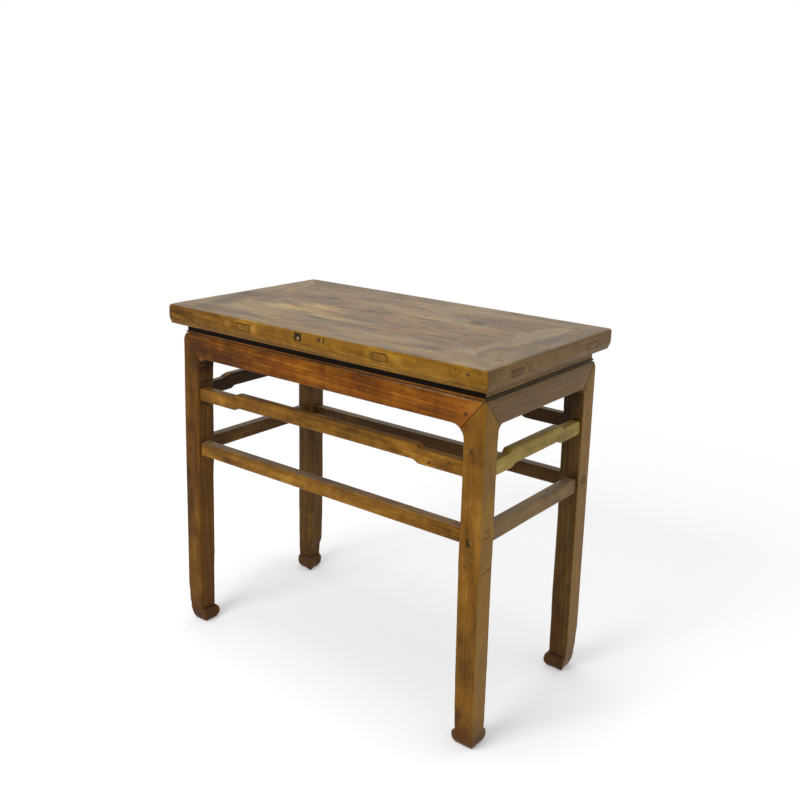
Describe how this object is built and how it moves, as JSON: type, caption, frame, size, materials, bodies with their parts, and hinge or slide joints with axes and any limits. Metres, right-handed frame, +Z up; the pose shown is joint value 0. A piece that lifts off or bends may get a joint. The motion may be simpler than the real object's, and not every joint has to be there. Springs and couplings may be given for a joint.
{
  "type": "chinese altar table",
  "caption": "Waisted side table with a framed panel top, mitred aprons, humped and straight stretchers and horse-hoof feet.",
  "frame": {"origin": "middle of the floor area under the table, on the floor", "axes": "+Z up, +X along the length of the table, -Y towards the front, +Y towards the back"},
  "size_m": [0.926, 0.52, 0.84],
  "materials": {
    "top_rail_front": "old worn softwood, grey and brown, rubbed",
    "top_rail_back": "old worn softwood, grey and brown, rubbed",
    "top_rail_left": "old worn softwood, grey and brown, rubbed",
    "top_rail_right": "old worn softwood, grey and brown, rubbed",
    "rail_plug": "old worn softwood, thin brown stain, satin",
    "panel_board_front": "old worn softwood, grey and brown, rubbed",
    "panel_board_back": "old worn softwood, grey and brown, rubbed",
    "batten_left": "old worn softwood, thin brown stain, satin",
    "batten_right": "old worn softwood, thin brown stain, satin",
    "waist_board_front": "old worn softwood, thin brown stain, satin",
    "waist_board_back": "old worn softwood, thin brown stain, satin",
    "waist_board_left": "old worn softwood, thin brown stain, satin",
    "waist_board_right": "old worn softwood, thin brown stain, satin",
    "waist_moulding_front": "old worn softwood, thin brown stain, satin",
    "waist_moulding_back": "old worn softwood, thin brown stain, satin",
    "waist_moulding_left": "old worn softwood, thin brown stain, satin",
    "waist_moulding_right": "old worn softwood, thin brown stain, satin",
    "apron_front": "old worn softwood, thin brown stain, satin",
    "apron_back": "old worn softwood, thin brown stain, satin",
    "apron_left": "old worn softwood, thin brown stain, satin",
    "apron_right": "old worn softwood, thin brown stain, satin",
    "apron_peg": "old worn softwood, thin brown stain, satin",
    "leg_front_left": "old worn softwood, thin brown stain, satin",
    "leg_front_right": "old worn softwood, thin brown stain, satin",
    "leg_back_left": "old worn softwood, thin brown stain, satin",
    "leg_back_right": "old worn softwood, thin brown stain, satin",
    "hump_stretcher_front": "old worn softwood, thin brown stain, satin",
    "hump_stretcher_back": "old worn softwood, thin brown stain, satin",
    "hump_stretcher_left": "old worn softwood, thin brown stain, satin",
    "hump_stretcher_right": "old worn softwood, thin brown stain, satin",
    "lower_stretcher_front": "old worn softwood, thin brown stain, satin",
    "lower_stretcher_back": "old worn softwood, thin brown stain, satin",
    "lower_stretcher_left": "old worn softwood, thin brown stain, satin",
    "lower_stretcher_right": "old worn softwood, thin brown stain, satin"
  },
  "bodies": {
    "root": {"top_rail_front": "top_rail_front", "top_rail_back": "top_rail_back", "top_rail_left": "top_rail_left", "top_rail_right": "top_rail_right", "rail_plug": "rail_plug", "panel_board_front": "panel_board_front", "panel_board_back": "panel_board_back", "batten_left": "batten_left", "batten_right": "batten_right", "waist_board_front": "waist_board_front", "waist_board_back": "waist_board_back", "waist_board_left": "waist_board_left", "waist_board_right": "waist_board_right", "waist_moulding_front": "waist_moulding_front", "waist_moulding_back": "waist_moulding_back", "waist_moulding_left": "waist_moulding_left", "waist_moulding_right": "waist_moulding_right", "apron_front": "apron_front", "apron_back": "apron_back", "apron_left": "apron_left", "apron_right": "apron_right", "apron_peg": "apron_peg", "leg_front_left": "leg_front_left", "leg_front_right": "leg_front_right", "leg_back_left": "leg_back_left", "leg_back_right": "leg_back_right", "hump_stretcher_front": "hump_stretcher_front", "hump_stretcher_back": "hump_stretcher_back", "hump_stretcher_left": "hump_stretcher_left", "hump_stretcher_right": "hump_stretcher_right", "lower_stretcher_front": "lower_stretcher_front", "lower_stretcher_back": "lower_stretcher_back", "lower_stretcher_left": "lower_stretcher_left", "lower_stretcher_right": "lower_stretcher_right"}
  },
  "joints": []
}
